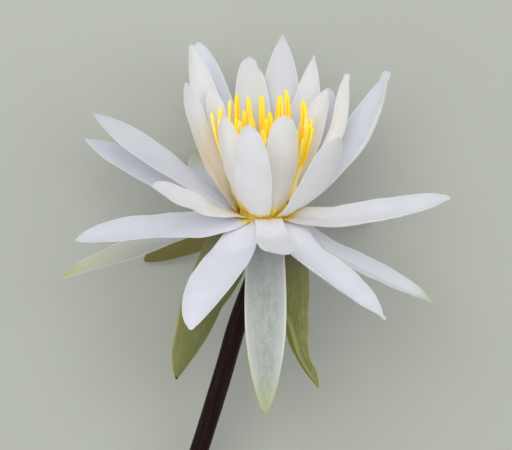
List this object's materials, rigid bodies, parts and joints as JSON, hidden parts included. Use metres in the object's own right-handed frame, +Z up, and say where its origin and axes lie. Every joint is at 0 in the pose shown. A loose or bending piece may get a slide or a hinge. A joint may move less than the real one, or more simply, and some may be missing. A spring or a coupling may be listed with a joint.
{
  "type": "water lily flower",
  "caption": "Open white water lily flower with pointed petals, drooping green sepals, yellow stamens and a dark cut stem, lying on its rear petals and stem end.",
  "frame": {"origin": "on the surface the flower lies on, under the centre of its bounding box", "axes": "+Z up from the surface; +Y the way the bloom faces, with its axis rising 16 degrees above +Y; the stem trails towards -Y and -X"},
  "size_m": [0.1282, 0.1818, 0.1009],
  "materials": {
    "petal": "smooth waxy white, faintly blue on the outer petals and cream towards the base",
    "sepal": "olive green outside with pale rims, grey-white with green stripes inside",
    "stamen": "bright yellow anthers on pale yellow filaments",
    "stigma": "golden yellow, matt",
    "heart": "cream to golden yellow, matt",
    "stem": "very dark purple-brown, satin"
  },
  "bodies": {
    "root": {"heart": "heart", "petal_core_1": "petal", "petal_core_2": "petal", "petal_core_3": "petal", "petal_cup_1": "petal", "petal_cup_2": "petal", "petal_cup_3": "petal", "petal_cup_4": "petal", "petal_cup_5": "petal", "petal_cup_6": "petal", "petal_cup_7": "petal", "petal_inner_1": "petal", "petal_inner_2": "petal", "petal_inner_3": "petal", "petal_inner_4": "petal", "petal_inner_5": "petal", "petal_inner_6": "petal", "petal_outer_1": "petal", "petal_outer_2": "petal", "petal_outer_3": "petal", "petal_outer_4": "petal", "petal_outer_5": "petal", "petal_outer_6": "petal", "petal_spread_1": "petal", "petal_spread_2": "petal", "petal_spread_3": "petal", "petal_spread_4": "petal", "petal_spread_5": "petal", "petal_spread_6": "petal", "sepal_back": "sepal", "sepal_front": "sepal", "sepal_left": "sepal", "sepal_right": "sepal", "stamen_inner_01": "stamen", "stamen_inner_02": "stamen", "stamen_inner_03": "stamen", "stamen_inner_04": "stamen", "stamen_inner_05": "stamen", "stamen_inner_06": "stamen", "stamen_inner_07": "stamen", "stamen_inner_08": "stamen", "stamen_inner_09": "stamen", "stamen_inner_10": "stamen", "stamen_inner_11": "stamen", "stamen_outer_01": "stamen", "stamen_outer_02": "stamen", "stamen_outer_03": "stamen", "stamen_outer_04": "stamen", "stamen_outer_05": "stamen", "stamen_outer_06": "stamen", "stamen_outer_07": "stamen", "stamen_outer_08": "stamen", "stamen_outer_09": "stamen", "stamen_outer_10": "stamen", "stamen_outer_11": "stamen", "stamen_outer_12": "stamen", "stamen_outer_13": "stamen", "stamen_outer_14": "stamen", "stem": "stem", "stigma": "stigma"}
  },
  "joints": []
}
